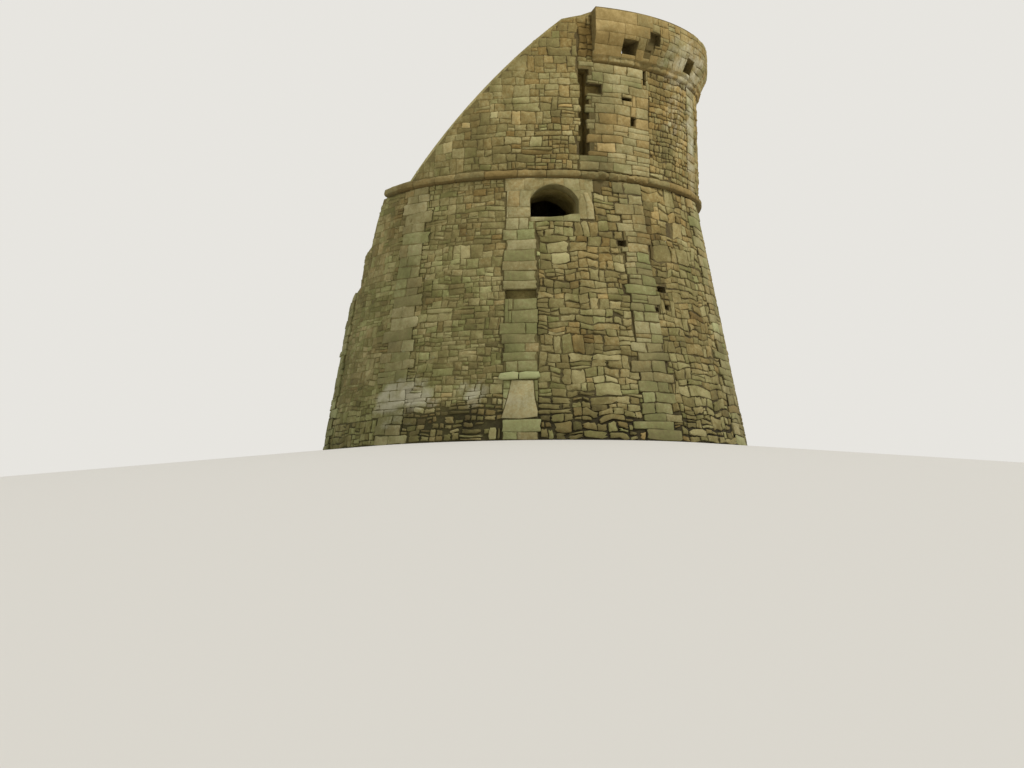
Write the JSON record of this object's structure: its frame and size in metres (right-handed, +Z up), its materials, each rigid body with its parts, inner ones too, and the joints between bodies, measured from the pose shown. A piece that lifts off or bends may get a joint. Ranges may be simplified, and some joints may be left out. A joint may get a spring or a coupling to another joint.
{
  "type": "ruined coastal watch tower",
  "caption": "Ruined round stone watch tower: battered ribbed base, arched embrasure, vaulted room, drum fallen away along a slope, part of a gun-looped parapet left.",
  "frame": {"origin": "centre of the base circle at ground level", "axes": "+Z up along the tower's axis; -Y is the front, with the embrasure; +X is the side that keeps its parapet"},
  "size_m": [12.6, 12.69, 12.1],
  "materials": {
    "rubble_stone": "weathered limestone rubble in wide lime mortar joints",
    "ashlar_stone": "weathered squared limestone blocks",
    "dressed_stone": "worn dressed limestone",
    "lime_mortar": "rough lime mortar",
    "paving_stone": "worn stone paving"
  },
  "bodies": {
    "root": {"scarp_bay_1": "rubble_stone", "scarp_bay_2": "rubble_stone", "scarp_bay_3": "rubble_stone", "scarp_bay_4": "rubble_stone", "scarp_bay_5": "rubble_stone", "scarp_bay_6": "rubble_stone", "scarp_bay_7": "rubble_stone", "scarp_bay_8": "rubble_stone", "scarp_bay_9": "rubble_stone", "scarp_bay_10": "rubble_stone", "rib_1": "ashlar_stone", "rib_2": "ashlar_stone", "rib_3": "ashlar_stone", "rib_4": "ashlar_stone", "rib_5": "ashlar_stone", "rib_6": "ashlar_stone", "rib_7": "ashlar_stone", "rib_8": "ashlar_stone", "rib_9": "ashlar_stone", "rib_10": "ashlar_stone", "rubble_core": "rubble_stone", "room_wall": "rubble_stone", "room_floor": "paving_stone", "vault": "lime_mortar", "window_lintel": "dressed_stone", "window_jambs": "dressed_stone", "window_sill": "dressed_stone", "string_course_1": "dressed_stone", "string_course_2": "dressed_stone", "string_course_3": "dressed_stone", "drum_pier": "ashlar_stone", "drum_right": "rubble_stone", "drum_strip": "ashlar_stone", "drum_back": "rubble_stone", "drum_back_left": "rubble_stone", "drum_left": "rubble_stone", "drum_front": "rubble_stone", "parapet_ledge": "dressed_stone", "parapet_1": "ashlar_stone", "parapet_2": "ashlar_stone", "parapet_3": "ashlar_stone", "parapet_4": "ashlar_stone", "parapet_5": "ashlar_stone", "terrace": "paving_stone", "slope_capping": "lime_mortar"}
  },
  "joints": []
}
